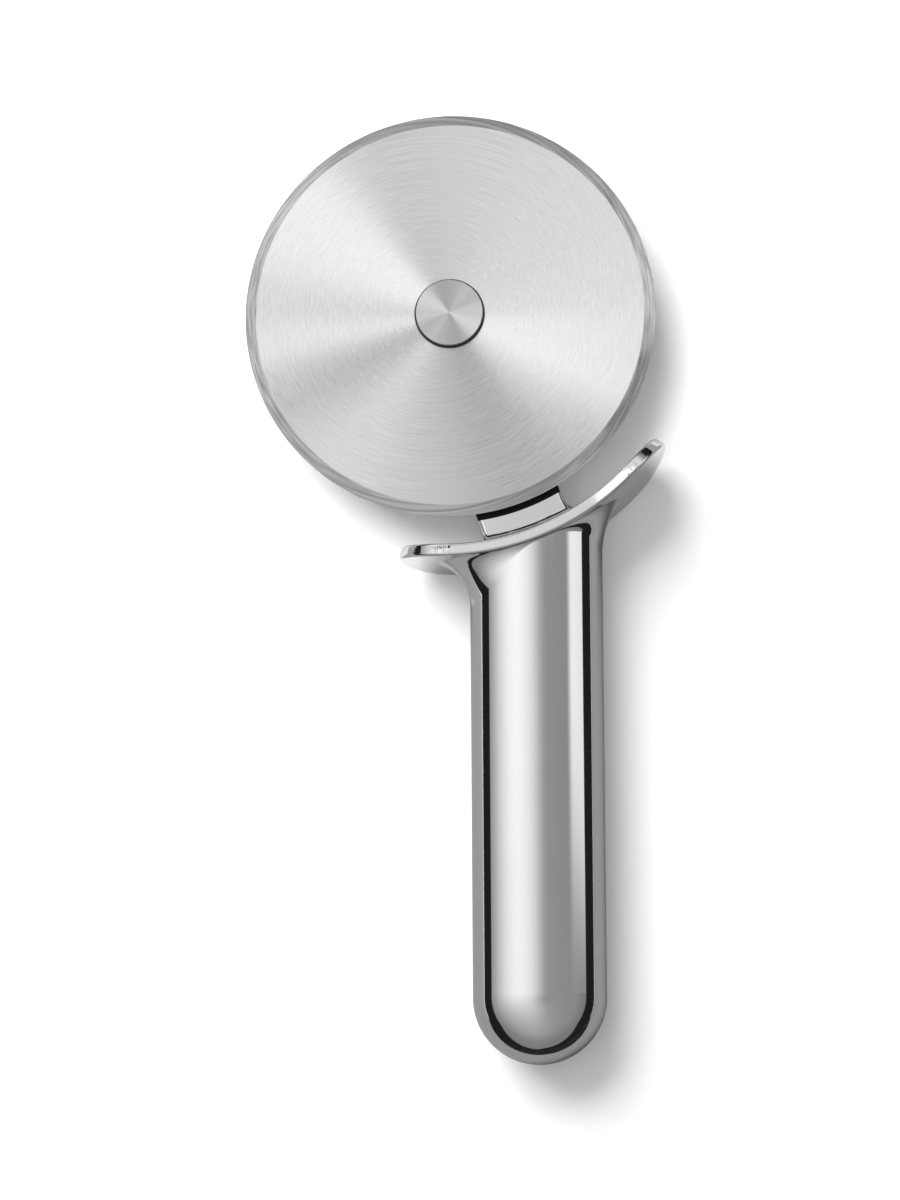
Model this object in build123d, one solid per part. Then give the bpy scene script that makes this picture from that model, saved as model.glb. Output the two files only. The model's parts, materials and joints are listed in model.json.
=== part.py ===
from build123d import *
from math import asin, atan2, cos, degrees, hypot, radians, sin, sqrt
import os

# Hand-held cutting wheel with a thumb guard and a hollow oval handle.
# It lies on its back: +Y runs from the butt of the handle to the wheel, +X is to the right seen from the
# front, and +Z points out of the front, along the wheel's axle.
# It is drawn about the middle of the handle's section and the middle plane of the wheel, with the axle at
# Y = 0, and then moved so that the origin is the middle of the overall box, at its lowest level.

# Cutting wheel
wheel_diameter = 101.6
wheel_thickness = 2.0
edge_bevel_width = 2.7
edge_land = 0.3
wheel_bore = 12.0
axle_offset = 20.8

# Axle stack
bushing_proud = 0.1
end_float = 0.05
running_clearance = 0.03
post_diameter = 8.0
thrust_washer_diameter = 17.4
thrust_washer_thickness = 0.5
washer_clearance = 0.15
cap_diameter = 16.6
cap_height = 1.25
cap_roof = 0.55
cap_edge_round = 0.2
post_head_diameter = 15.0
post_head_clearance = 0.05
spigot_diameter = 6.4
spigot_clearance = 0.05
spigot_relief = 0.1
screw_diameter = 4.0
screw_clearance = 0.05
screw_grip = 4.4
screw_bottom_gap = 0.4
screw_head_diameter = 7.6
screw_head_height = 1.4
screw_head_round = 0.4
hex_key_size = 2.5
hex_key_depth = 0.9
lock_washer_diameter = 8.2
lock_washer_thickness = 0.7
lock_washer_tooth_depth = 0.7
lock_washer_teeth = 12
counterbore_diameter = 9.6

# Wheel arm
arm_angle = 19.0
arm_width = 21.4
arm_thickness = 4.5
arm_edge_round = 0.8
rim_gap = 1.4
neck_edge_round = 1.2
foot_thickness = 0.35
foot_flare = 3.2
foot_margin = 0.2
tang_thickness = 5.0
tang_root = 2.0
tang_length = 22.0
tang_clearance = 0.1
tang_end_round = 1.5

# Thumb guard
guard_gap = 9.2
guard_thickness = 3.1
guard_depth = 25.6
guard_left_tip_angle = -11.7
guard_right_tip_angle = 57.3
guard_edge_round = 0.7

# Handle shells
handle_width = 32.4
handle_depth = 23.2
handle_flat = 1.0
handle_wall = 1.4
butt_distance = 186.5
left_flare_radius = 11.0
right_flare_radius = 24.0
flare_end_round = 12.0
flare_lead = 4.0
seat_sink = 0.4
flare_shares = (0.0, 0.3, 0.56, 0.78, 1.0)

# Pieces inside the handle
inner_clearance = 0.1
plug_top_gap = 3.0
plug_length = 26.0
plug_side_wall = 7.6
pin_diameter = 3.0
pin_length = 16.0
pin_clearance = 0.03
pin_first_depth = 11.0
pin_pitch = 5.0
stud_diameter = 6.0
stud_clearance = 0.1
stud_grip = 9.0
stud_thread_gap = 0.6
weight_diameter = 15.0
weight_length = 60.0
weight_seat_gap = 0.3
ring_width = 6.0
ring_inset = 8.0
nut_width = 10.0
nut_height = 5.0
nut_overhang = 1.0

# One overrun serves all cuts
overrun = 1.0

# Levels of the axle stack
wheel_radius = wheel_diameter / 2
half_wheel = wheel_thickness / 2
bushing_face = half_wheel + bushing_proud
washer_inner_face = bushing_face + end_float
washer_outer_face = washer_inner_face + thrust_washer_thickness
cap_top = washer_outer_face + cap_height
arm_front = -washer_outer_face
arm_back = arm_front - arm_thickness
neck_front = half_wheel
neck_middle = (neck_front + arm_back) / 2
screw_tip = washer_outer_face - screw_bottom_gap
web_back = screw_tip - screw_grip
screw_head_front = web_back - lock_washer_thickness
screw_head_back = screw_head_front - screw_head_height

# Radii about the axle
neck_radius = wheel_radius + rim_gap
guard_inner_radius = wheel_radius + guard_gap
guard_outer_radius = guard_inner_radius + guard_thickness
guard_middle_radius = guard_inner_radius + guard_thickness / 2
guard_half_depth = guard_depth / 2

# Places along the handle
half_width = handle_width / 2
half_depth = handle_depth / 2
half_flat = handle_flat / 2
butt_center = half_width - butt_distance
left_center_x = -half_width - left_flare_radius
right_center_x = half_width + right_flare_radius
seat_radius = guard_outer_radius - seat_sink
left_center_y = -sqrt((seat_radius + left_flare_radius) ** 2 - (left_center_x + axle_offset) ** 2)
right_center_y = -sqrt((seat_radius + right_flare_radius) ** 2 - (right_center_x + axle_offset) ** 2)
left_end_angle = atan2(-left_center_y, -axle_offset - left_center_x)
right_end_angle = atan2(-right_center_y, axle_offset + right_center_x)
tang_width = 2 * (half_width - handle_wall - inner_clearance - plug_side_wall - tang_clearance)
tang_far = guard_inner_radius + tang_length
tang_near = sqrt(guard_inner_radius**2 - (axle_offset + tang_width / 2) ** 2) - tang_root
plug_top = -guard_outer_radius - plug_top_gap
plug_bottom = plug_top - plug_length
upper_pin_depth = guard_inner_radius + pin_first_depth
lower_pin_depth = upper_pin_depth + pin_pitch
pin_depths = (upper_pin_depth, lower_pin_depth)
weight_top = plug_bottom - weight_seat_gap
weight_bottom = weight_top - weight_length
stud_top = plug_bottom + stud_grip
stud_bottom = weight_bottom - nut_height - nut_overhang

axle_place = Pos(-axle_offset, 0, 0)
arm_place = axle_place * Rot(0, 0, arm_angle)


def disc(diameter, low, high):
    """Round solid about the Z axis from one level to another."""
    return Pos(0, 0, (low + high) / 2) * Cylinder(diameter / 2, high - low)


def ring(outer, inner, low, high):
    """Washer or sleeve about the Z axis."""
    return disc(outer, low, high) - disc(inner, low - overrun, high + overrun)


def bar(width, far, near, low, high):
    """Block centred on the Y axis, reaching from -far to -near along it."""
    return Pos(0, -(far + near) / 2, (low + high) / 2) * Box(width, far - near, high - low)


def rod(diameter, far, near):
    """Round solid along the handle between two heights on the Y axis."""
    return Pos(0, (far + near) / 2, 0) * Rot(90, 0, 0) * Cylinder(diameter / 2, near - far)


def spoke_place(angle, radius):
    """Place on the wheel's plane at an angle from straight down, with its Y axis pointing at the axle."""
    return axle_place * Rot(0, 0, angle) * Pos(0, -radius, 0)


def cutting_wheel():
    rim_land = edge_land / 2
    bevel_start = wheel_radius - edge_bevel_width
    outline = Polyline(
        (wheel_bore / 2, -half_wheel),
        (bevel_start, -half_wheel),
        (wheel_radius, -rim_land),
        (wheel_radius, rim_land),
        (bevel_start, half_wheel),
        (wheel_bore / 2, half_wheel),
        close=True,
    )
    return revolve(Plane.XZ * make_face(outline), Axis.Z)


def wheel_bushing():
    bore = post_diameter + 2 * running_clearance
    return ring(wheel_bore, bore, -bushing_face, bushing_face)


def thrust_washer(low, high):
    return ring(thrust_washer_diameter, post_diameter + 2 * washer_clearance, low, high)


def axle_cap():
    """Flat cup pressed over the head of the post."""
    cup = disc(cap_diameter, washer_outer_face, cap_top)
    cup = fillet(cup.edges().group_by(Axis.Z)[-1], cap_edge_round)
    pocket = disc(
        post_head_diameter + 2 * post_head_clearance,
        washer_outer_face - overrun,
        cap_top - cap_roof,
    )
    return cup - pocket


def axle_post():
    """Headed post with a spigot that locates in the arm and a tapped hole from the back."""
    head = disc(post_head_diameter, washer_outer_face, cap_top - cap_roof)
    barrel = disc(post_diameter, arm_front, washer_outer_face)
    spigot = disc(spigot_diameter, web_back + spigot_relief, arm_front)
    hole = disc(screw_diameter + 2 * screw_clearance, web_back, screw_tip + screw_bottom_gap / 2)
    return head + barrel + spigot - hole


def axle_screw():
    head = disc(screw_head_diameter, screw_head_back, screw_head_front)
    head = fillet(head.edges().group_by(Axis.Z)[0], screw_head_round)
    shank = disc(screw_diameter, screw_head_front, screw_tip)
    key = RegularPolygon(hex_key_size / 2, 6, major_radius=False)
    socket = extrude(Pos(0, 0, screw_head_back - overrun) * key, hex_key_depth + overrun)
    return head + shank - socket


def lock_washer():
    """Toothed washer under the head of the axle screw."""
    body = ring(lock_washer_diameter, screw_diameter + 2 * washer_clearance, screw_head_front, web_back)
    notch_width = lock_washer_tooth_depth
    height = lock_washer_thickness + 2 * overrun
    middle = (screw_head_front + web_back) / 2
    notch = Pos(lock_washer_diameter / 2, 0, middle) * Box(2 * lock_washer_tooth_depth, notch_width, height)
    notches = [Rot(0, 0, 360 / lock_washer_teeth * turn) * notch for turn in range(lock_washer_teeth)]
    return body - notches


def neck_solid():
    """Neck block from behind the rim of the wheel to the guard, with a foot that flares onto the guard."""
    foot_radius = guard_inner_radius - foot_thickness
    neck = bar(arm_width, guard_outer_radius, wheel_radius / 2, arm_back, neck_front)
    neck = fillet(neck.edges().filter_by(Axis.Y).group_by(Axis.Z)[-1], neck_edge_round)
    neck = fillet(neck.edges().filter_by(Axis.Y).group_by(Axis.Z)[0], arm_edge_round)
    sheet = ring(2 * guard_outer_radius, 2 * foot_radius, -guard_depth, guard_depth)
    sheet &= bar(guard_depth * 2, guard_outer_radius * 2, 0, -guard_depth, guard_depth)
    neck += sheet
    half_height = (neck_front - arm_back + foot_thickness) / 2
    seam = []
    for edge in neck.edges():
        spot = edge.position_at(1 / 2)
        on_foot = abs(hypot(spot.X, spot.Y) - foot_radius) < foot_thickness / 2
        beside_neck = abs(spot.X) <= (arm_width + foot_thickness) / 2
        if on_foot and beside_neck and abs(spot.Z - neck_middle) <= half_height:
            seam.append(edge)
    neck = fillet(seam, foot_flare)
    spread = foot_flare + foot_margin
    trim = bar(
        arm_width + 2 * spread,
        guard_inner_radius * 2,
        0,
        arm_back - spread,
        neck_front + spread,
    )
    trim = fillet(trim.edges().filter_by(Axis.Y), spread)
    return neck & trim & disc(2 * guard_inner_radius, -guard_depth, guard_depth)


def blade_arm():
    """Flat arm behind the wheel, with a round end about the axle."""
    arm = bar(arm_width, neck_radius + rim_gap, 0, arm_back, arm_front)
    arm += disc(arm_width, arm_back, arm_front)
    return fillet(arm.edges().group_by(Axis.Z)[0], arm_edge_round)


def wheel_tang():
    """Flat tang that runs from the neck through the guard and down the middle of the handle."""
    low = neck_middle - tang_thickness / 2
    tang = bar(tang_width, tang_far, tang_near, low, low + tang_thickness)
    tang = fillet(tang.edges().filter_by(Axis.Z).group_by(Axis.Y)[0], tang_end_round)
    return tang - axle_place * disc(2 * neck_radius, -guard_depth, guard_depth)


def wheel_arm():
    """Flat arm behind the wheel, stepped up to the neck, with a tang that enters the handle."""
    arm = neck_solid() - disc(2 * neck_radius, -guard_depth, guard_depth) + blade_arm()
    arm -= disc(spigot_diameter + 2 * spigot_clearance, arm_back - overrun, arm_front + overrun)
    arm -= disc(counterbore_diameter, arm_back - overrun, web_back)
    arm = arm_place * arm + wheel_tang()
    for depth in pin_depths:
        arm -= pin_hole(depth)
    return arm


def tang_pin(depth):
    """Pin across the tang at a distance below the level of the axle."""
    return Pos(0, -depth, 0) * disc(pin_diameter, -pin_length / 2, pin_length / 2)


def pin_hole(depth):
    return Pos(0, -depth, 0) * disc(pin_diameter + 2 * pin_clearance, -guard_depth, guard_depth)


def tang_slot(far):
    """Room for the tang with its clearance, from the level of the axle down to a distance below it."""
    low = neck_middle - tang_thickness / 2 - tang_clearance
    high = neck_middle + tang_thickness / 2 + tang_clearance
    return bar(tang_width + 2 * tang_clearance, far, 0, low, high)


def thumb_guard():
    """Plate bent round the wheel, with full round ends in its plan."""
    end_turn = degrees(asin(guard_half_depth / guard_middle_radius))
    left_angle = guard_left_tip_angle + end_turn
    right_angle = guard_right_tip_angle - end_turn
    reach = 2 * guard_outer_radius
    fan = Polyline(
        (0, 0),
        (reach * sin(radians(left_angle)), -reach * cos(radians(left_angle))),
        (reach * sin(radians(right_angle)), -reach * cos(radians(right_angle))),
        close=True,
    )
    plan = extrude(axle_place * make_face(fan), guard_half_depth, both=True)
    for angle in (left_angle, right_angle):
        end = Rot(90, 0, 0) * Cylinder(guard_half_depth, guard_inner_radius)
        plan += spoke_place(angle, guard_middle_radius) * end
    shell = axle_place * ring(2 * guard_outer_radius, 2 * guard_inner_radius, -guard_depth, guard_depth)
    plate = shell & plan
    plate = fillet(
        plate.edges().filter_by(lambda edge: edge.length > 2 * guard_thickness),
        guard_edge_round,
    )
    return plate - tang_slot(guard_outer_radius)


def oval_face(half_length, end_length, half_height):
    """Oval with a short flat on its broad sides and half ellipses at both ends."""
    straight = half_length - end_length
    top = Line((straight, half_height), (-straight, half_height))
    left = EllipticalCenterArc((-straight, 0), end_length, half_height, 90, arc_size=180)
    bottom = Line((-straight, -half_height), (straight, -half_height))
    right = EllipticalCenterArc((straight, 0), end_length, half_height, -90, arc_size=180)
    return make_face(top + left + bottom + right)


def flare_plane(left, right):
    """Plane through two points of the front view, square to it."""
    across = (right - left).normalized()
    return Plane(origin=(left + right) / 2, x_dir=across, z_dir=across.cross(Vector(0, 0, 1)))


def flare_ends(share, inset):
    """Left and right edge of the flare at a share of its turn."""
    left_turn = left_end_angle * share
    right_turn = right_end_angle * share
    left_reach = left_flare_radius + inset
    right_reach = right_flare_radius + inset
    left = Vector(
        left_center_x + left_reach * cos(left_turn),
        left_center_y + left_reach * sin(left_turn),
        0,
    )
    right = Vector(
        right_center_x - right_reach * cos(right_turn),
        right_center_y + right_reach * sin(right_turn),
        0,
    )
    return left, right


def flare_section(share, inset):
    """Oval section of the flare, blunter towards the guard."""
    left, right = flare_ends(share, inset)
    across = right - left
    slant = abs(across.X) / across.length
    round_at_column = (half_width - inset - half_flat) / slant
    round_at_guard = flare_end_round - inset
    end_length = round_at_column + (round_at_guard - round_at_column) * share
    face = oval_face(across.length / 2, end_length, half_depth - inset)
    return flare_plane(left, right) * face


def column(inset):
    """Straight oval part of the handle, from the butt up to the start of the flare."""
    left, right = flare_ends(0, inset)
    lead = Vector(0, flare_lead, 0)
    end_length = half_width - inset - half_flat
    face = oval_face(half_width - inset, end_length, half_depth - inset)
    level = Plane(origin=(0, butt_center, 0), x_dir=(1, 0, 0), z_dir=(0, 1, 0))
    post = extrude(level * face, -butt_center)
    return split(post, bisect_by=flare_plane(left - lead, right - lead), keep=Keep.TOP)


def butt_dome(inset):
    """Rounded end of the handle, turned about both edges of the flat."""
    end_length = half_width - inset - half_flat
    half_height = half_depth - inset
    arc = EllipticalCenterArc((0, 0), end_length, half_height, -90, arc_size=180)
    half_oval = Plane.XZ * make_face(arc + Line((0, half_height), (0, -half_height)))
    right = revolve(half_oval, Axis((0, 0, 0), (0, 0, -1)), 90)
    left = mirror(right, Plane.YZ)
    arc = EllipticalCenterArc((0, 0), end_length, half_height, 90, arc_size=180)
    strip = Plane.YZ * make_face(arc + Line((0, -half_height), (0, half_height)))
    middle = extrude(strip, half_flat, both=True)
    return Pos(0, butt_center, 0) * (Pos(half_flat, 0, 0) * right + Pos(-half_flat, 0, 0) * left + middle)


def handle_form(inset):
    """Whole outer form of the handle, drawn in on all sides by the inset."""
    first = flare_section(0, inset)
    sections = [Pos(0, -flare_lead, 0) * first]
    sections += [flare_section(share, inset) for share in flare_shares]
    return butt_dome(inset) + column(inset) + loft(sections)


def handle_shells():
    """Front and back pressings of the handle, which meet in the plane of the wheel."""
    guard_space = axle_place * disc(2 * guard_outer_radius, -guard_depth, guard_depth)
    shell = handle_form(0) - handle_form(handle_wall) - guard_space
    front = split(shell, bisect_by=Plane.XY, keep=Keep.TOP)
    back = split(shell, bisect_by=Plane.XY, keep=Keep.BOTTOM)
    return front, back


def oval_plug(top, bottom):
    """Solid that fills the bore of the handle between two heights."""
    inset = handle_wall + inner_clearance
    face = oval_face(half_width - inset, half_width - inset - half_flat, half_depth - inset)
    level = Plane(origin=(0, bottom, 0), x_dir=(1, 0, 0), z_dir=(0, 1, 0))
    return extrude(level * face, top - bottom)


def anchor_plug():
    """Plug in the top of the handle that holds the tang, its pins and the stud of the weight."""
    plug = oval_plug(plug_top, plug_bottom)
    plug -= tang_slot(tang_far + tang_clearance)
    for depth in pin_depths:
        plug -= pin_hole(depth)
    plug -= rod(stud_diameter + 2 * stud_clearance, plug_bottom - overrun, stud_top + stud_thread_gap)
    return plug


def balance_weight():
    bore = rod(stud_diameter + 2 * stud_clearance, weight_bottom - overrun, weight_top + overrun)
    return rod(weight_diameter, weight_bottom, weight_top) - bore


def weight_stud():
    return rod(stud_diameter, stud_bottom, stud_top)


def weight_nut():
    level = Plane(origin=(0, weight_bottom - nut_height, 0), x_dir=(1, 0, 0), z_dir=(0, 1, 0))
    nut = extrude(level * RegularPolygon(nut_width / 2, 6, major_radius=False), nut_height)
    bore = rod(stud_diameter + 2 * stud_clearance, weight_bottom - nut_height - overrun, weight_bottom + overrun)
    return nut - bore


def weight_ring(middle):
    """Soft ring that centres the weight in the oval bore."""
    body = oval_plug(middle + ring_width / 2, middle - ring_width / 2)
    hole = rod(weight_diameter, middle - ring_width, middle + ring_width)
    return body - hole


def pieces():
    front_shell, back_shell = handle_shells()
    return {
        "cutting_wheel": axle_place * cutting_wheel(),
        "wheel_bushing": axle_place * wheel_bushing(),
        "front_thrust_washer": axle_place * thrust_washer(washer_inner_face, washer_outer_face),
        "rear_thrust_washer": axle_place * thrust_washer(-washer_outer_face, -washer_inner_face),
        "axle_cap": axle_place * axle_cap(),
        "axle_post": axle_place * axle_post(),
        "axle_screw": axle_place * axle_screw(),
        "lock_washer": axle_place * lock_washer(),
        "wheel_arm": wheel_arm(),
        "upper_tang_pin": tang_pin(upper_pin_depth),
        "lower_tang_pin": tang_pin(lower_pin_depth),
        "thumb_guard": thumb_guard(),
        "front_handle_shell": front_shell,
        "back_handle_shell": back_shell,
        "anchor_plug": anchor_plug(),
        "weight_stud": weight_stud(),
        "balance_weight": balance_weight(),
        "weight_nut": weight_nut(),
        "upper_weight_ring": weight_ring(weight_top - ring_inset),
        "lower_weight_ring": weight_ring(weight_bottom + ring_inset),
    }


def main():
    made = pieces()
    solids = [solid for piece in made.values() for solid in piece.solids()]
    box = Compound(solids).bounding_box()
    middle = box.center()
    home = Pos(-middle.X, -middle.Y, -box.min.Z)
    os.makedirs("parts", exist_ok=True)
    for name, piece in made.items():
        export_step(home * piece, "parts/" + name + ".step")
    print("overall size", box.size)
    print("axle at", (home * axle_place).position)


main()
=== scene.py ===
import json
import math

import bpy
from mathutils import Matrix, Vector

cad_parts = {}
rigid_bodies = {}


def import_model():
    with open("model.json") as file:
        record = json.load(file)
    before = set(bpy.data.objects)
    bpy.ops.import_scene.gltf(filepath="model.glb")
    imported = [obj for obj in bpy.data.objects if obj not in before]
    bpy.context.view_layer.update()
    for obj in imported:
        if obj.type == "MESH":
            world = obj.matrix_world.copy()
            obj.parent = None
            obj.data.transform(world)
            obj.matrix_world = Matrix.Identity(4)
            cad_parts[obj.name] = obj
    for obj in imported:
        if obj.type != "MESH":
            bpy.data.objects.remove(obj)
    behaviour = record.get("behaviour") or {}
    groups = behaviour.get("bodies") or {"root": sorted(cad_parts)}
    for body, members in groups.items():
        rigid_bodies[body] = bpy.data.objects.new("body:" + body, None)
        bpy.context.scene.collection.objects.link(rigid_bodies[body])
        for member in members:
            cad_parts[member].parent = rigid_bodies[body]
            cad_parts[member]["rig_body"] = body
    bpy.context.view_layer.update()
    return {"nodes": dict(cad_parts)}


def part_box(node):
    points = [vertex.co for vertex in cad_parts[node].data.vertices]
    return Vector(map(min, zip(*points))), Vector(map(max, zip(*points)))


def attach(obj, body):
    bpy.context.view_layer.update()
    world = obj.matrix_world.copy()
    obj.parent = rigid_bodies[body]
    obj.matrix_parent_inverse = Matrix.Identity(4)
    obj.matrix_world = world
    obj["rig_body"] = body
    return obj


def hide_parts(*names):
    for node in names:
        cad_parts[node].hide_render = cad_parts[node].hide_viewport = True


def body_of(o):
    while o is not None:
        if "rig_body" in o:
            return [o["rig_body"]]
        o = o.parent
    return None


# Cutting wheel with a one-sided arm, a bent thumb guard and a polished oval handle, seen from above as it
# lies on a white table. All lengths are in metres.
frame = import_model()

MM = 0.001

# Guard: its gap from the wheel's rim, its plate, and how far its tips reach round the axle from straight down
guard_gap = 9.2 * MM
guard_thickness = 3.1 * MM
guard_left_tip = math.radians(-11.7)
guard_right_tip = math.radians(57.1)
guard_edge_round = 0.7 * MM
guard_round_segments = 10
guard_end_corners = 128
guard_cuts = 160
guard_merge = 0.012 * MM

# Handle: its walls, and the flare of its upper end. The flare gets shorter from the sides to the front by the
# power of its side, sinks a little into the guard, and has its own small sizes where it faces the front.
handle_wall = 1.4 * MM
plug_clearance = 0.1 * MM
left_flare_radius = 11.0 * MM
right_flare_radius = 24.0 * MM
left_flare_power = 6.0
right_flare_power = 1.1
seat_sink = 0.4 * MM
top_power = 6
top_seat = 0.3 * MM
top_overlap = 0.6 * MM
top_blend_length = 0.3 * MM
top_lean = 1.0 * MM
lean_middle = -0.1
lean_reach = 0.42
shell_segments = 160
dome_steps = 72
flare_steps = 72

# Neck: where it starts from the axle, how deep its foot lies below the middle of the wheel, how far it is set
# back from the rim, and how its upper face rises and spreads on the way to the guard
arm_angle = math.radians(19)
neck_start = 52.2 * MM
neck_floor = -1.5 * MM
neck_setback = 0.5 * MM
neck_slope = 1.0 * MM
neck_rise = 2.3 * MM
neck_spread = 0.25
neck_steps = 15
neck_strips_aside = 4
neck_strip_width = 2.4 * MM
neck_margin = 0.1 * MM

# Wheel: the ground bevel at its rim, the flat left at the very edge, and the broken edge where the bevel starts
edge_bevel_width = 2.7 * MM
edge_land = 0.3 * MM
edge_break = 0.12 * MM
wheel_bore = 12.0 * MM
turned_segments = 384

# Cap of the axle
cap_edge_round = 0.2 * MM
cap_edge_steps = 6

# Brushed grooves: tilt of their flanks, strength and depth of their marks, and how short a mark is round the axle
groove_tilt = math.radians(7.5)
groove_strength = 0.25
groove_depth = 0.004 * MM
groove_scale_around = 13.0

# Black card bent round the butt, and how far below the middle of the butt's round end it stops
flag_distance = 95 * MM
flag_height = 25 * MM
flag_open_share = 0.2
flag_segments = 96

# Glows of the studio tent, in the flat plan of its dome: place, reach and level
main_glow = ((-0.30, 0.28), (0.36, 0.46), 1.15)
low_glow = ((-0.08, -0.30), (0.30, 0.42), 0.18)
overhead_shade = ((0.0, -0.04), (0.12, 0.10), 0.14)
tent_radius = 3
haze_level = 0.37
haze_fall = 0.10
side_strip_level = 0.9
wall_height = 0.785
wall_level = 0.018

# Softboxes round the direction that flat steel mirrors: share of half a turn from the right to the left, and level
wheel_mirror = (-0.045, 0.169)
softbox_scale = 1.8
softbox_levels = [
    (0.0, 0.60),
    (0.20, 0.60),
    (0.44, 0.54),
    (0.66, 0.46),
    (0.74, 0.84),
    (0.86, 0.80),
    (1.0, 0.48),
]

# Cards over the wheel, outside what the handle mirrors: height and corners in millimetres, and level
card_height = 250
cards = {
    "bright_card": ([(4, 98), (30, 57), (118, 57), (124, 124), (40, 124)], 1.6),
    "dark_card": ([(-27, 108), (-13, 108), (5, 66), (-42, 66)], 0.02),
    "grey_side_card": ([(-36, 112), (-78, 58), (-150, 58), (-140, 97)], 0.5),
}

# Table, surroundings and lamps: side or strength, and for each lamp its place, side and power
table_side = 6
table_shine = 0.12
world_light = 0.28
lamps = {
    "key lamp": ((-0.58, 0.80, 0.92), 1.2, 36),
    "fill lamp": ((-0.1, -0.3, 1.6), 1.4, 6),
}

# Camera: its turn in degrees, its place from what it aims at, and its lens in pixels of a 1200 pixel high picture
camera_turn = (-10.75, -4.12, 0.32)
camera_aside = -20.96 * MM
camera_back = -33.39 * MM
camera_distance = 1400 * MM
aim_below_axle = 38.12 * MM
picture_height = 1200
focal_pixels = 5700.2
sensor_width = 36


def box_of(node):
    """Lowest and highest corners of a CAD node."""
    low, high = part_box(node)
    return Vector(low), Vector(high)


def middle_of(node):
    low, high = box_of(node)
    return (low + high) / 2


wheel_low, wheel_high = box_of("cutting_wheel")
axle = middle_of("cutting_wheel")
wheel_radius = (wheel_high.x - wheel_low.x) / 2
half_wheel = (wheel_high.z - wheel_low.z) / 2
bevel_start = wheel_radius - edge_bevel_width
guard_inner_radius = wheel_radius + guard_gap
guard_outer_radius = guard_inner_radius + guard_thickness
guard_low, guard_high = box_of("thumb_guard")
guard_half_depth = (guard_high.z - guard_low.z) / 2

shell_low, shell_high = box_of("front_handle_shell")
plug_low, plug_high = box_of("anchor_plug")
handle_x = middle_of("balance_weight").x
half_width = (plug_high.x - plug_low.x) / 2 + handle_wall + plug_clearance
half_depth = shell_high.z - axle.z
butt_center_y = shell_low.y + half_width


# Modelling helpers


def deselect_all():
    bpy.ops.object.select_all(action="DESELECT")


def named(name):
    """Gives the active object and its mesh their name."""
    piece = bpy.context.object
    piece.name = name
    piece.data.name = name
    return piece


def added(name, mesh):
    """Puts a mesh into the scene as the active object."""
    piece = bpy.data.objects.new(name, mesh)
    bpy.context.scene.collection.objects.link(piece)
    deselect_all()
    piece.select_set(True)
    bpy.context.view_layer.objects.active = piece
    return piece


def apply_modifier(piece, name, kind, **settings):
    """Adds a modifier to the active piece, sets it and applies it."""
    modifier = piece.modifiers.new(name, kind)
    for setting, value in settings.items():
        setattr(modifier, setting, value)
    bpy.ops.object.modifier_apply(modifier=modifier.name)


def select_vertices(piece, test):
    """Selects the vertices of a piece that pass a test of their place, and leaves it in edit mode."""
    bpy.ops.object.mode_set(mode="OBJECT")
    for polygon in piece.data.polygons:
        polygon.select = False
    for edge in piece.data.edges:
        edge.select = False
    for vertex in piece.data.vertices:
        vertex.select = test(vertex.co)
    bpy.ops.object.mode_set(mode="EDIT")
    bpy.ops.mesh.select_mode(type="VERT")


def finish_mesh(piece, sharp_angle):
    """Closes a mesh in edit mode: merges doubles, turns faces outwards and sets its smooth shading."""
    bpy.ops.mesh.select_all(action="SELECT")
    bpy.ops.mesh.remove_doubles(threshold=0.001 * MM)
    bpy.ops.mesh.normals_make_consistent(inside=False)
    bpy.ops.object.mode_set(mode="OBJECT")
    bpy.ops.object.shade_smooth_by_angle(angle=math.radians(sharp_angle))
    apply_modifier(piece, "even normals", "WEIGHTED_NORMAL", keep_sharp=True)
    return piece


def turned(name, outline, sharp_angle):
    """Body of rings about the axle, extruded, scaled and lifted along an outline, and capped if it has no bore."""
    capped = outline[-1] != outline[0]
    deselect_all()
    radius, height = outline[0]
    place = (axle.x, axle.y, axle.z + height)
    bpy.ops.mesh.primitive_circle_add(vertices=turned_segments, radius=radius, location=place)
    piece = named(name)
    bpy.ops.object.transform_apply(location=True)
    bpy.ops.object.mode_set(mode="EDIT")
    bpy.ops.mesh.select_all(action="SELECT")
    if capped:
        bpy.ops.mesh.edge_face_add()
        bpy.ops.mesh.select_all(action="SELECT")
        bpy.ops.mesh.region_to_loop()
    for new_radius, new_height in outline[1:]:
        bpy.ops.mesh.extrude_edges_move(TRANSFORM_OT_translate={"value": (0, 0, new_height - height)})
        if new_radius != radius:
            scale = new_radius / radius
            bpy.ops.transform.resize(value=(scale, scale, 1), center_override=(axle.x, axle.y, axle.z))
        radius, height = new_radius, new_height
    if capped:
        bpy.ops.mesh.edge_face_add()
    return finish_mesh(piece, sharp_angle)


# Pieces


def cutting_wheel():
    """Flat steel disc with a ground bevel on both sides of its rim and a broken edge inside the bevel."""
    land = edge_land / 2
    slope = (half_wheel - land) / edge_bevel_width
    inner = bevel_start - edge_break
    outer = bevel_start + edge_break
    drop = edge_break * slope
    outline = [
        (wheel_bore / 2, half_wheel),
        (inner, half_wheel),
        (outer, half_wheel - drop),
        (wheel_radius, land),
        (wheel_radius, -land),
        (outer, -half_wheel + drop),
        (inner, -half_wheel),
        (wheel_bore / 2, -half_wheel),
        (wheel_bore / 2, half_wheel),
    ]
    return turned("spun_wheel", outline, 4)


def axle_cap():
    """Flat disc with a small round edge, over the head of the post."""
    low, high = box_of("axle_cap")
    radius = (high.x - low.x) / 2
    bottom = low.z - axle.z
    top = high.z - axle.z
    outline = [(radius, bottom)]
    for step in range(cap_edge_steps + 1):
        turn = math.pi / 2 * step / cap_edge_steps
        reach = radius - cap_edge_round + cap_edge_round * math.cos(turn)
        outline.append((reach, top - cap_edge_round + cap_edge_round * math.sin(turn)))
    return turned("axle_cap_disc", outline, 40)


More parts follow.
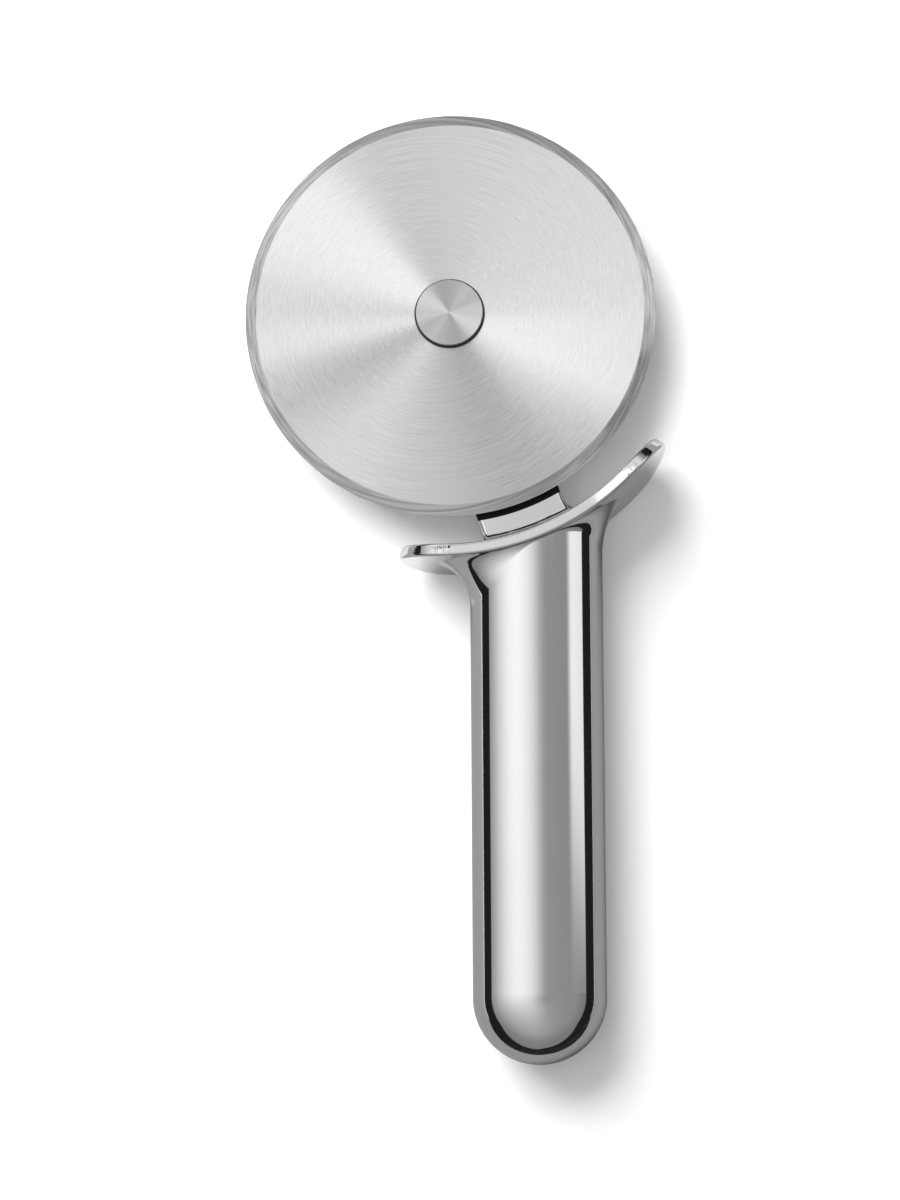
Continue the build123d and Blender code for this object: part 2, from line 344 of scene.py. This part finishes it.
def guard_plate():
    """Plate with full round ends, drawn flat and bent round the wheel."""
    turn = guard_right_tip - guard_left_tip
    radius = (guard_inner_radius + guard_outer_radius) / 2
    length = radius * turn
    deselect_all()
    bpy.ops.mesh.primitive_circle_add(vertices=guard_end_corners, radius=guard_half_depth)
    piece = named("guard_plate")
    bpy.ops.object.mode_set(mode="EDIT")
    bpy.ops.mesh.select_all(action="SELECT")
    bpy.ops.transform.rotate(value=math.pi / guard_end_corners, orient_axis="Z", center_override=(0, 0, 0))
    for side in (-1, 1):
        select_vertices(piece, lambda spot: spot.x * side > 0)
        bpy.ops.transform.translate(value=(side * (length / 2 - guard_half_depth), 0, 0))
    bpy.ops.mesh.select_all(action="SELECT")
    bpy.ops.mesh.edge_face_add()
    bpy.ops.transform.translate(value=(0, 0, -guard_thickness / 2))
    bpy.ops.mesh.extrude_region_move(TRANSFORM_OT_translate={"value": (0, 0, guard_thickness)})
    bpy.ops.mesh.select_all(action="SELECT")
    bpy.ops.mesh.normals_make_consistent(inside=False)
    bpy.ops.object.mode_set(mode="OBJECT")
    for edge in piece.data.edges:
        first_z, second_z = (piece.data.vertices[corner].co.z for corner in edge.vertices)
        edge.select = abs(first_z - second_z) < guard_thickness / 2
    bpy.ops.object.mode_set(mode="EDIT")
    bpy.ops.mesh.select_mode(type="EDGE")
    bpy.ops.mesh.bevel(offset=guard_edge_round, segments=guard_round_segments, profile=0.5, affect="EDGES")
    for cut in range(1, guard_cuts):
        bpy.ops.mesh.select_all(action="SELECT")
        bpy.ops.mesh.bisect(plane_co=(length * (cut / guard_cuts - 0.5), 0, 0), plane_no=(1, 0, 0))
    bpy.ops.mesh.select_all(action="SELECT")
    bpy.ops.mesh.remove_doubles(threshold=guard_merge)
    bpy.ops.transform.rotate(value=-math.pi / 2, orient_axis="X", center_override=(0, 0, 0))
    bpy.ops.object.mode_set(mode="OBJECT")
    apply_modifier(piece, "bend", "SIMPLE_DEFORM", deform_method="BEND", deform_axis="Z", angle=turn)
    middle_turn = Matrix.Rotation((guard_left_tip + guard_right_tip) / 2, 4, "Z")
    piece.matrix_world = Matrix.Translation(axle) @ middle_turn @ Matrix.Translation((0, -radius, 0))
    bpy.ops.object.transform_apply(location=True, rotation=True, scale=True)
    bpy.ops.object.mode_set(mode="EDIT")
    return finish_mesh(piece, 35)


def side_fillet(side, radius):
    """Turn of the plan fillet from the handle's side to the guard, its spread, and its length before the corner."""
    seat = guard_outer_radius - seat_sink
    center_x = handle_x - axle.x + side * (half_width + radius)
    center_y = -math.sqrt((seat + radius) ** 2 - center_x**2)
    turn = math.atan2(-center_y, side * center_x)
    spread = radius * (1 - math.cos(turn))
    end_x = center_x - side * radius * math.cos(turn)
    end_y = -math.sqrt(seat**2 - end_x**2)
    corner_y = end_y + side * spread * end_x / end_y
    return turn, spread, corner_y - center_y


def flare_curve(turn):
    """Start, corner and end of the fillet curve at a turn round the oval, and its weight at the corner."""
    side = 1 if math.cos(turn) >= 0 else -1
    radius = right_flare_radius if side > 0 else left_flare_radius
    power = right_flare_power if side > 0 else left_flare_power
    side_turn, spread, length = side_fillet(side, radius)
    x, z = half_width * math.cos(turn), half_depth * math.sin(turn)
    normal = Vector((math.cos(turn) / half_width, math.sin(turn) / half_depth)).normalized()
    upright = abs(math.sin(turn))
    facing = upright**top_power
    if upright > 0.01:
        top = guard_half_depth - guard_edge_round + top_overlap * facing
        limit = (top - abs(z)) / abs(normal.y)
        spread = (spread**-4 + limit**-4) ** -0.25
    length = top_blend_length + (length - top_blend_length) * (1 - upright**power)
    seat = guard_outer_radius - seat_sink - top_seat * facing
    lean = top_lean * math.exp(-(((math.cos(turn) - lean_middle) / lean_reach) ** 2))
    end_x = handle_x - axle.x + x + normal.x * spread
    end_y = -math.sqrt(seat**2 - end_x**2)
    corner_y = end_y + normal.x * spread * end_x / end_y - lean
    corner = Vector((handle_x - axle.x + x, corner_y, z))
    start = corner - Vector((0, length, 0))
    end = Vector((end_x, end_y, z + normal.y * spread))
    return start, corner, end, math.cos(side_turn / 2)


def flare_ring(share, curves):
    """Points at a share of the way along every fillet curve."""
    ring = []
    for start, corner, end, weight in curves:
        first, middle, last = (1 - share) ** 2, 2 * share * (1 - share) * weight, share**2
        ring.append((start * first + corner * middle + end * last) / (first + middle + last) + axle)
    return ring


def dome_ring(tilt, turns):
    """Points of the butt's round end at a tilt from its tip."""
    reach_x, reach_z = half_width * math.sin(tilt), half_depth * math.sin(tilt)
    y = butt_center_y - half_width * math.cos(tilt)
    return [Vector((handle_x + reach_x * math.cos(turn), y, axle.z + reach_z * math.sin(turn))) for turn in turns]


def handle_shell(name, side):
    """Half of the hollow handle, the front half for side 1 and the back half for side -1, with its wall inside.

    Its rings go from the tip of the butt up to the guard.
    """
    turns = [math.pi * step / shell_segments * side for step in range(shell_segments + 1)]
    curves = [flare_curve(turn) for turn in turns]
    rings = [dome_ring(math.pi / 2 * step / dome_steps, turns) for step in range(1, dome_steps + 1)]
    rings += [flare_ring(step / flare_steps, curves) for step in range(flare_steps + 1)]
    points = [Vector((handle_x, shell_low.y, axle.z))] + [spot for ring in rings for spot in ring]
    width = len(turns)
    faces = [(0, 1 + step, 2 + step)[::side] for step in range(shell_segments)]
    for row in range(len(rings) - 1):
        for step in range(shell_segments):
            corner = 1 + row * width + step
            faces.append((corner + width, corner + 1 + width, corner + 1, corner)[::side])
    mesh = bpy.data.meshes.new(name)
    mesh.from_pydata(points, [], faces)
    piece = added(name, mesh)
    apply_modifier(piece, "wall", "SOLIDIFY", thickness=handle_wall, offset=-1)
    bpy.ops.object.shade_smooth_by_angle(angle=math.radians(40))
    return piece


def arm_copy():
    """The arm with its neck and tang. The neck is cut into a grid, set back from the rim and raised to the guard."""
    piece = added("arm_and_neck", frame["nodes"]["wheel_arm"].data.copy())
    bpy.ops.mesh.customdata_custom_splitnormals_clear()
    bpy.ops.object.mode_set(mode="EDIT")
    bpy.ops.mesh.select_all(action="SELECT")
    bpy.ops.mesh.remove_doubles(threshold=0.001 * MM)
    bpy.ops.mesh.dissolve_limited(angle_limit=math.radians(0.2))
    along = Vector((math.sin(arm_angle), -math.cos(arm_angle), 0))
    across = Vector((-along.y, along.x, 0))
    neck_length = guard_inner_radius - neck_start
    for cut in range(1, neck_steps):
        bpy.ops.mesh.select_all(action="SELECT")
        reach = neck_start + neck_length * cut / neck_steps
        bpy.ops.mesh.bisect(plane_co=axle + along * reach, plane_no=along)
    for cut in range(-neck_strips_aside, neck_strips_aside + 1):
        bpy.ops.mesh.select_all(action="SELECT")
        bpy.ops.mesh.bisect(plane_co=axle + across * cut * neck_strip_width, plane_no=across)
    bpy.ops.object.mode_set(mode="OBJECT")
    for vertex in piece.data.vertices:
        spot = vertex.co - axle
        flat = Vector((spot.x, spot.y, 0))
        aside = flat.dot(across)
        off_neck = flat.dot(along) < neck_start * 0.9 or flat.length < neck_start - neck_margin
        past_guard = flat.length > guard_inner_radius + neck_margin
        if off_neck or past_guard or spot.z < neck_floor:
            continue
        share = (flat.length - neck_start) / neck_length
        vertex.co += flat.normalized() * neck_setback * (1 - share)
        if aside > 0:
            vertex.co += across * aside * neck_spread * share**2
        lift = min((spot.z - neck_floor) / (half_wheel - neck_floor), 1)
        vertex.co.z += (neck_slope * share + neck_rise * share**3) * lift
    bpy.ops.object.mode_set(mode="EDIT")
    return finish_mesh(piece, 32)


# Materials


class Wire:
    """Output of a shader node that can be used like a number."""

    def __init__(self, shader, socket):
        self.shader = shader
        self.socket = socket

    def math(self, operation, *others):
        return self.shader.node("Math", {"operation": operation}, dict(enumerate((self, *others))))

    def beside(self, name):
        """Another output of the node that this one comes from."""
        return Wire(self.shader, self.socket.node.outputs[name])

    def __add__(self, other):
        return self.math("ADD", other)

    __radd__ = __add__

    def __sub__(self, other):
        return self.math("SUBTRACT", other)

    def __rsub__(self, other):
        return -self + other

    def __neg__(self):
        return self * -1

    def __mul__(self, other):
        return self.math("MULTIPLY", other)

    __rmul__ = __mul__

    def __truediv__(self, other):
        return self.math("DIVIDE", other)


class Shader:
    """A material or a world, and the nodes that it is made of."""

    def __init__(self, name, kind=bpy.data.materials):
        self.owner = kind.new(name)
        self.owner.use_nodes = True
        self.tree = self.owner.node_tree
        self.tree.nodes.clear()

    def node(self, kind, settings=None, inputs=None, output=0):
        made = self.tree.nodes.new("ShaderNode" + kind)
        for name, value in (settings or {}).items():
            if name == "stops":
                self.set_stops(made.color_ramp, value)
            else:
                setattr(made, name, value)
        for name, value in (inputs or {}).items():
            if isinstance(value, Wire):
                self.tree.links.new(value.socket, made.inputs[name])
            else:
                made.inputs[name].default_value = value
        return Wire(self, made.outputs[output]) if made.outputs else made

    def set_stops(self, ramp, stops):
        ramp.interpolation = "EASE"
        while len(ramp.elements) < len(stops):
            ramp.elements.new(1.0)
        for element, (place, value) in zip(ramp.elements, stops):
            element.position = place
            element.color = (value, value, value, 1)

    def place(self):
        """Object coordinates, which for every piece are its place in the frame."""
        return self.node("TexCoord", output="Object")

    def around_axle(self):
        """Place measured from the axle, the distance from it in plan, and the direction in plan."""
        from_axle = self.node("VectorMath", {"operation": "SUBTRACT"}, {0: self.place(), 1: axle})
        flat = self.node("VectorMath", {"operation": "MULTIPLY"}, {0: from_axle, 1: (1, 1, 0)})
        radius = self.node("VectorMath", {"operation": "LENGTH"}, {0: flat}, output="Value")
        around = self.node("VectorMath", {"operation": "NORMALIZE"}, {0: flat})
        return from_axle, radius, around

    def seen(self):
        """1 for rays from the camera, from a mirror or through glass, and 0 for the light on the pieces."""
        rays = self.node("LightPath", output="Is Camera Ray")
        return rays + rays.beside("Is Glossy Ray") + rays.beside("Is Transmission Ray")

    def step(self, value, start, end, shape="SMOOTHERSTEP"):
        """0 before start and 1 after end, with a soft change between."""
        settings = {"interpolation_type": shape, "clamp": True}
        return self.node("MapRange", settings, {"Value": value, "From Min": start, "From Max": end})

    def mix(self, share, first, second):
        inputs = {"Factor": share, "A": first, "B": second}
        return self.node("Mix", {"data_type": "RGBA"}, inputs, output="Result")

    def noise(self, vector, scale, detail):
        inputs = {"Vector": vector, "Scale": scale, "Detail": detail, "Roughness": 0.55}
        return self.node("TexNoise", {"noise_dimensions": "3D"}, inputs)

    def bump(self, height, strength, distance, normal=None):
        inputs = {"Strength": strength, "Distance": distance, "Height": height}
        if normal is not None:
            inputs["Normal"] = normal
        return self.node("Bump", {}, inputs)

    def principled(self, **inputs):
        return self.node("BsdfPrincipled", {}, {name.replace("_", " "): value for name, value in inputs.items()})

    def finish(self, closure, output="OutputMaterial"):
        self.node(output, {}, {"Surface": closure})
        return self.owner

    def surface(self, **inputs):
        return self.finish(self.principled(**inputs))

    def glowing(self, strength):
        return self.finish(self.node("Emission", {}, {"Color": (1, 1, 1, 1), "Strength": strength}))


def grey(value):
    return (value, value, value * 0.99, 1)


def spun_steel(name, base, roughness, ring_pitch, inner_share, bevel_from=None):
    """Steel brushed in circles about the axle: grooves with an outer and an inner flank, and a ground bevel."""
    shader = Shader(name)
    _, radius, around = shader.around_axle()
    stretched = shader.node(
        "VectorMath",
        {"operation": "MULTIPLY_ADD"},
        {
            0: shader.node("CombineXYZ", {}, {"X": radius}),
            1: (1 / ring_pitch, 0, 0),
            2: shader.node("VectorMath", {"operation": "SCALE"}, {0: around, "Scale": groove_scale_around}),
        },
    )
    tone = shader.noise(stretched, 1.0, 2.0) * 0.75 + shader.noise(stretched, 0.3, 2.0) * 0.25
    if bevel_from is None:
        colour = shader.mix(tone, grey(base * 0.86), grey(base * 1.12))
        height = tone
    else:
        on_bevel = shader.step(radius, bevel_from - 0.02 * MM, bevel_from + 0.02 * MM, "LINEAR")
        coarse = shader.noise(stretched, 0.5, 1.0)
        plain = shader.mix(tone, grey(base * 0.76), grey(base * 1.22))
        ground = shader.mix(coarse, grey(base * 0.30), grey(base * 1.25))
        colour = shader.mix(on_bevel, plain, ground)
        height = tone + on_bevel * coarse * 1.5
    rough = roughness + (tone - 0.5) * 0.10
    flanks = []
    for tilt in (groove_tilt, -groove_tilt):
        cone = shader.bump(radius * -math.tan(tilt), 1.0, 1.0)
        flanks.append(
            shader.principled(
                Base_Color=colour,
                Metallic=1.0,
                Roughness=rough,
                Anisotropic=0.9,
                Anisotropic_Rotation=0.25,
                Normal=shader.bump(height, groove_strength, groove_depth, cone),
            )
        )
    return shader.finish(shader.node("MixShader", {}, {0: inner_share, 1: flanks[0], 2: flanks[1]}))


def polished_steel(name, painted_shade_below=None):
    """Mirror-polished steel with faint buffing marks, and painted shade where it lies deep behind the wheel:
    near-black, rough and not metal there, in place of the shadow in the slot under the rim.
    """
    shader = Shader(name)
    place = shader.place()
    marks = shader.noise(place, 900.0, 3.0)
    waves = shader.noise(place, 60.0, 2.0)
    colour = shader.mix(waves, grey(0.64), grey(0.68))
    rough = 0.035 + marks * 0.03
    metal = 1.0
    if painted_shade_below is not None:
        from_axle, radius, _ = shader.around_axle()
        depth = shader.node("SeparateXYZ", {}, {"Vector": from_axle}, output="Z")
        bright = shader.step(depth, painted_shade_below - 0.1 * MM, painted_shade_below + 0.1 * MM)
        behind = 1 - shader.step(radius, neck_start + 1.2 * MM, neck_start + 1.4 * MM)
        # Painted shade: below the given depth and inside the neck's start the steel turns near-black, standing in
        # for the shadow in the slot between the wheel's rim and the neck
        painted_shade = (1 - bright) * behind
        colour = shader.mix(painted_shade, colour, grey(0.012))
        rough = rough + painted_shade * 0.5
        metal = 1 - painted_shade
    return shader.surface(
        Base_Color=colour,
        Specular_IOR_Level=0.05,
        Metallic=metal,
        Roughness=rough,
        Normal=shader.bump(waves, 0.03, 0.02 * MM),
    )


def turned_steel():
    """Plain bright steel of hidden screws, pins and bars."""
    shader = Shader("turned steel")
    marks = shader.noise(shader.place(), 1500.0, 4.0)
    return shader.surface(
        Base_Color=shader.mix(marks, grey(0.48), grey(0.66)),
        Metallic=1.0,
        Roughness=0.25 + marks * 0.15,
        Normal=shader.bump(marks, 0.1, 0.01 * MM),
    )


def cast_aluminium():
    """Grainy metal of the plug in the handle."""
    shader = Shader("cast aluminium")
    grain = shader.noise(shader.place(), 700.0, 5.0)
    return shader.surface(
        Base_Color=shader.mix(grain, grey(0.55), grey(0.72)),
        Metallic=1.0,
        Roughness=0.45 + grain * 0.2,
        Normal=shader.bump(grain, 0.3, 0.05 * MM),
    )


def matt_plastic(name, low, high):
    """Matt plastic or rubber of washers, the bushing and the rings, between two greys."""
    shader = Shader(name)
    grain = shader.noise(shader.place(), 2500.0, 3.0)
    return shader.surface(
        Base_Color=shader.mix(grain, grey(low), grey(high)),
        Roughness=0.5 + grain * 0.2,
        Normal=shader.bump(grain, 0.15, 0.01 * MM),
    )


def give(piece, material):
    piece.data.materials.clear()
    piece.data.materials.append(material)


def dress_node(node, material):
    for slot in frame["nodes"][node].material_slots:
        slot.material = material


# The table, the studio round it, the lamps and the camera


def only_in_reflections(thing):
    """Makes a part of the studio show only in polished surfaces, without light or shadow on anything."""
    thing.visible_camera = False
    thing.visible_diffuse = False
    thing.visible_transmission = False
    thing.visible_shadow = False
    thing.visible_volume_scatter = False


def white_table():
    """White table top under the cutter."""
    deselect_all()
    bpy.ops.mesh.primitive_plane_add(size=table_side, location=(0, 0, 0))
    table = named("white_table")
    shader = Shader("white table")
    grain = shader.noise(shader.place(), 30.0, 2.0)
    material = shader.surface(
        Base_Color=shader.mix(grain, grey(0.86), grey(0.87)),
        Roughness=0.6,
        Emission_Color=(1, 1, 1, 1),
        Emission_Strength=shader.seen() * table_shine,
    )
    give(table, material)


def studio_tent():
    """Dome of softboxes and dark walls."""
    deselect_all()
    bpy.ops.mesh.primitive_uv_sphere_add(segments=96, ring_count=48, radius=tent_radius)
    tent = named("studio_tent")
    shader = Shader("studio tent")
    step = shader.step
    toward = shader.node("VectorMath", {"operation": "NORMALIZE"}, {0: shader.place()})
    side_part = shader.node("SeparateXYZ", {}, {"Vector": toward})
    along_part = side_part.beside("Y")

    # Flat plan of the dome: 0 overhead and 1 at the height of the table, to the right and up along the handle
    polar = side_part.beside("Z").math("ARCCOSINE") * (2 / math.pi)
    level = (side_part * side_part + along_part * along_part).math("SQRT") + 0.0001
    right = side_part / level * polar
    up = along_part / level * polar

    def glow(center, reach, strength):
        gap_x = (right - center[0]) / reach[0]
        gap_y = (up - center[1]) / reach[1]
        return (-(gap_x * gap_x + gap_y * gap_y)).math("EXPONENT") * strength

    haze = haze_level - step(polar, 0.5, 0.8) * haze_fall
    main = glow(*main_glow) * (1 - step(right, -0.10, 0.20))
    side_strip = step(right, 0.42, 0.55) * step(up, 0.045, 0.115) * side_strip_level
    light = haze + main + glow(*low_glow) + side_strip

    mirror_x = right - wheel_mirror[0]
    mirror_y = up - wheel_mirror[1]
    clock = mirror_y.math("ARCTAN2", mirror_x) / math.pi
    reach = (mirror_x * mirror_x + mirror_y * mirror_y).math("SQRT")
    boxes = shader.node("ValToRGB", {"stops": softbox_levels}, {"Fac": clock}) * softbox_scale
    boxed = step(along_part, 0.225, 0.25) * step(reach, 0.02, 0.06) * (1 - step(reach, 0.38, 0.62))
    light = light * (1 - boxed) + boxes * boxed - glow(*overhead_shade)

    lowered_right = step(right, -0.1, 0.1) * 0.02
    raised_below = (-up - 0.45).math("MAXIMUM", 0.0) * 0.3
    wall = step(polar - (wall_height - lowered_right + raised_below), 0.0, 0.012)
    give(tent, shader.glowing(light * (1 - wall) + wall * wall_level))
    only_in_reflections(tent)


def grey_card():
    """Grey card flat on the table, seen only in the steel and pale close to the guard: its grey is partly painted
    shade, standing in for the table darkened round the cutter, and partly a greyer table.
    """
    deselect_all()
    bpy.ops.mesh.primitive_plane_add(size=1.2, location=(0, 0, 0.05 * MM))
    card = named("grey_card")
    bpy.ops.object.transform_apply(location=True)
    shader = Shader("grey card")
    _, radius, _ = shader.around_axle()
    pale = 1 - shader.step(radius, guard_outer_radius + 3.4 * MM, guard_outer_radius + 9 * MM)
    # Painted shade in part: the card's grey stands in for the shaded table that the handle's sides mirror
    give(card, shader.surface(Base_Color=shader.mix(pale, grey(0.30), grey(0.84)), Roughness=0.9))
    only_in_reflections(card)


def wheel_card(name, corners, level):
    """Card of an even level over the wheel."""
    mesh = bpy.data.meshes.new(name)
    mesh.from_pydata([Vector((x, y, card_height)) * MM for x, y in corners], [], [list(range(len(corners)))])
    card = added(name, mesh)
    give(card, Shader(name.replace("_", " ")).glowing(level))
    only_in_reflections(card)


def dark_flag():
    """Low black card bent round the butt, with a lower edge that rises towards its ends."""
    deselect_all()
    bpy.ops.mesh.primitive_cylinder_add(
        vertices=flag_segments,
        radius=flag_distance,
        depth=flag_height,
        end_fill_type="NOTHING",
        location=(handle_x, butt_center_y, flag_height / 2),
    )
    flag = named("dark_flag")
    bpy.ops.object.transform_apply(location=True)
    select_vertices(flag, lambda spot: spot.y - butt_center_y > -flag_distance * flag_open_share)
    bpy.ops.mesh.delete(type="VERT")
    bpy.ops.object.mode_set(mode="OBJECT")
    for vertex in flag.data.vertices:
        rise = (vertex.co.y - butt_center_y + flag_distance) / (flag_distance * (1 - flag_open_share))
        vertex.co.z = flag_height - (flag_height - vertex.co.z) * max(1 - rise**2, 0)
    shader = Shader("black card")
    fibre = shader.noise(shader.place(), 800.0, 2.0)
    give(flag, shader.surface(Base_Color=shader.mix(fibre, grey(0.01), grey(0.014)), Roughness=0.9))
    only_in_reflections(flag)


def soft_lamp(name, place, side, power):
    """Square soft lamp aimed at the middle of the table."""
    data = bpy.data.lights.new(name, "AREA")
    data.shape = "SQUARE"
    data.size = side
    data.energy = power
    lamp = bpy.data.objects.new(name, data)
    lamp.location = place
    lamp.rotation_mode = "QUATERNION"
    lamp.rotation_quaternion = (-Vector(place)).to_track_quat("-Z", "Y")
    lamp.visible_glossy = False
    bpy.context.scene.collection.objects.link(lamp)


def studio_world():
    """White surroundings that light the pieces only a little."""
    shader = Shader("studio", bpy.data.worlds)
    strength = shader.node("MapRange", {}, {"Value": shader.seen(), "To Min": world_light, "To Max": 1.0})
    background = shader.node("Background", {}, {"Strength": strength})
    bpy.context.scene.world = shader.finish(background, "OutputWorld")


def camera():
    """Camera above the table, leaning back over the butt of the handle."""
    tilt_x, tilt_y, tilt_z = (math.radians(angle) for angle in camera_turn)
    turn = Matrix.Rotation(tilt_x, 3, "X") @ Matrix.Rotation(tilt_y, 3, "Y") @ Matrix.Rotation(tilt_z, 3, "Z")
    facing = turn.transposed()
    aim = Vector((handle_x, axle.y - aim_below_axle, axle.z))
    place = facing @ Vector((camera_aside, camera_back, camera_distance)) + aim
    data = bpy.data.cameras.new("camera")
    data.sensor_width = sensor_width
    data.lens = sensor_width * focal_pixels / picture_height
    data.clip_start = 0.05
    data.clip_end = 20
    eye = bpy.data.objects.new("camera", data)
    eye.matrix_world = Matrix.Translation(place) @ facing.to_4x4()
    bpy.context.scene.collection.objects.link(eye)
    bpy.context.scene.camera = eye


def place_piece(piece, material, node):
    """Gives a piece its material and the body of the node that it stands for, and hides that node."""
    give(piece, material)
    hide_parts(node)
    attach(piece, body_of(frame["nodes"][node])[0])


def main():
    wheel_steel = spun_steel("spun wheel steel", 0.69, 0.24, 0.32 * MM, 0.06, bevel_start)
    cap_steel = spun_steel("spun cap steel", 0.54, 0.24, 0.15 * MM, 0.5)
    polished = polished_steel("polished steel")
    # The arm's steel carries painted shade: near-black deep behind the wheel, in place of the slot's shadow
    arm_steel_with_painted_shade = polished_steel("polished arm steel", neck_floor + 0.2 * MM)
    bright = turned_steel()
    black = matt_plastic("black plastic", 0.012, 0.02)
    natural = matt_plastic("natural plastic", 0.74, 0.82)
    rubber = matt_plastic("soft rubber", 0.02, 0.035)
    cast = cast_aluminium()
    place_piece(cutting_wheel(), wheel_steel, "cutting_wheel")
    place_piece(axle_cap(), cap_steel, "axle_cap")
    place_piece(guard_plate(), polished, "thumb_guard")
    place_piece(handle_shell("front_shell", 1), polished, "front_handle_shell")
    place_piece(handle_shell("back_shell", -1), polished, "back_handle_shell")
    place_piece(arm_copy(), arm_steel_with_painted_shade, "wheel_arm")
    for material, nodes in (
        (natural, ["wheel_bushing"]),
        (black, ["front_thrust_washer", "rear_thrust_washer"]),
        (bright, ["axle_post", "axle_screw", "lock_washer", "upper_tang_pin", "lower_tang_pin"]),
        (bright, ["weight_stud", "balance_weight", "weight_nut"]),
        (cast, ["anchor_plug"]),
        (rubber, ["upper_weight_ring", "lower_weight_ring"]),
    ):
        for node in nodes:
            dress_node(node, material)
    white_table()
    studio_tent()
    dark_flag()
    grey_card()
    for name, (corners, level) in cards.items():
        wheel_card(name, corners, level)
    studio_world()
    for name, (place, side, power) in lamps.items():
        soft_lamp(name, place, side, power)
    camera()
    bpy.context.scene.view_settings.view_transform = "Standard"


main()
